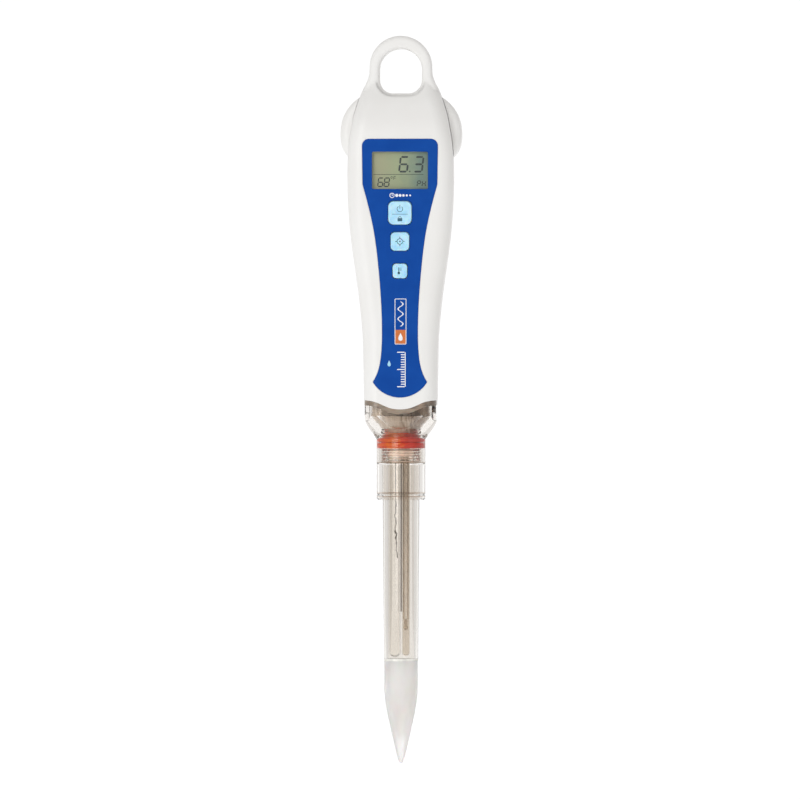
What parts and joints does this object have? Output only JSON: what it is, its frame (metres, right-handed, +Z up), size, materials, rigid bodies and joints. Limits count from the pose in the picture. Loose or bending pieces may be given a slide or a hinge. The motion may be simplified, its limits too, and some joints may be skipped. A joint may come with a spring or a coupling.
{
  "type": "digital ph meter",
  "caption": "Pen-type digital pH meter with a display, press keys, a hanging loop, a pull-off battery cover and a clear probe that ends in a spear tip.",
  "frame": {"origin": "the point of the spear tip, on the probe axis", "axes": "+Z up the probe axis to the hanging loop, -Y out of the face with the display and keys, +X to the right of that face"},
  "size_m": [0.0416, 0.0232, 0.25],
  "materials": {
    "case_white": "satin moulded ABS",
    "label_blue": "printed polyester film",
    "key_light_blue": "soft moulded key",
    "window_clear": "clear polycarbonate",
    "display": "reflective liquid crystal display",
    "bezel_black": "fine texture",
    "contact_rubber": "layered conductive rubber",
    "board_green": "solder mask",
    "chip_black": "epoxy",
    "switch_steel": "stamped",
    "screw_steel": "zinc plated",
    "cell_jacket": "printed sleeve over steel",
    "contact_nickel": "nickel plated",
    "cradle_grey": "moulded",
    "seal_grey": "silicone bead",
    "gasket_brown": "soft grey-brown elastomer",
    "probe_clear": "clear polycarbonate",
    "ring_red": "silicone ring",
    "junction_white": "porous ring",
    "tip_translucent": "milky glass",
    "glass_clear": "clear glass",
    "wire_silver": "drawn silver wire",
    "wire_dark": "enamelled wire",
    "bung_silicone": "translucent silicone",
    "potting_brown": "smoky epoxy",
    "lead_insulation": "insulated lead",
    "segment_dark": "driven display segment",
    "print_white": "screen print",
    "print_orange": "screen print",
    "print_grey": "screen print"
  },
  "bodies": {
    "meter": {"front_case": "case_white", "rear_case": "case_white", "case_seal": "seal_grey", "battery_cover_seal": "seal_grey", "face_label": "label_blue", "lcd_window": "window_clear", "lcd_glass": "display", "lcd_bezel": "bezel_black", "contact_strips": "contact_rubber", "circuit_board": "board_green", "tact_switches": "switch_steel", "circuit_chips": "chip_black", "board_screws": "screw_steel", "battery_cell": "cell_jacket", "battery_cradle": "cradle_grey", "battery_contact": "contact_nickel", "battery_spring": "contact_nickel", "case_gasket": "gasket_brown", "probe_neck": "probe_clear", "probe_collar": "probe_clear", "o_ring_upper": "ring_red", "o_ring_lower": "ring_red", "probe_barrel": "probe_clear", "junction_ring": "junction_white", "probe_tip": "tip_translucent", "glass_stem": "glass_clear", "sensor_tube": "glass_clear", "silver_wire": "wire_silver", "temperature_sensor": "wire_dark", "sensor_leads": "wire_dark", "reference_wire": "wire_silver", "stem_seal": "bung_silicone", "potting_compound": "potting_brown", "probe_leads": "lead_insulation"},
    "battery_cover": {"battery_cover": "case_white"},
    "power_button": {"power_button": "key_light_blue"},
    "cal_button": {"cal_button": "key_light_blue"},
    "units_button": {"units_button": "key_light_blue"}
  },
  "joints": [
    {"name": "battery_cover_pull", "type": "slide", "parent": "meter", "child": "battery_cover", "axis": [0, 1, 0], "range_m": [0, 0.03]},
    {"name": "power_button_press", "type": "slide", "parent": "meter", "child": "power_button", "axis": [0, 1, 0], "range_m": [0, 0.0005], "stiffness_N_per_m": 400},
    {"name": "cal_button_press", "type": "slide", "parent": "meter", "child": "cal_button", "axis": [0, 1, 0], "range_m": [0, 0.0005], "stiffness_N_per_m": 400},
    {"name": "units_button_press", "type": "slide", "parent": "meter", "child": "units_button", "axis": [0, 1, 0], "range_m": [0, 0.0005], "stiffness_N_per_m": 400}
  ]
}
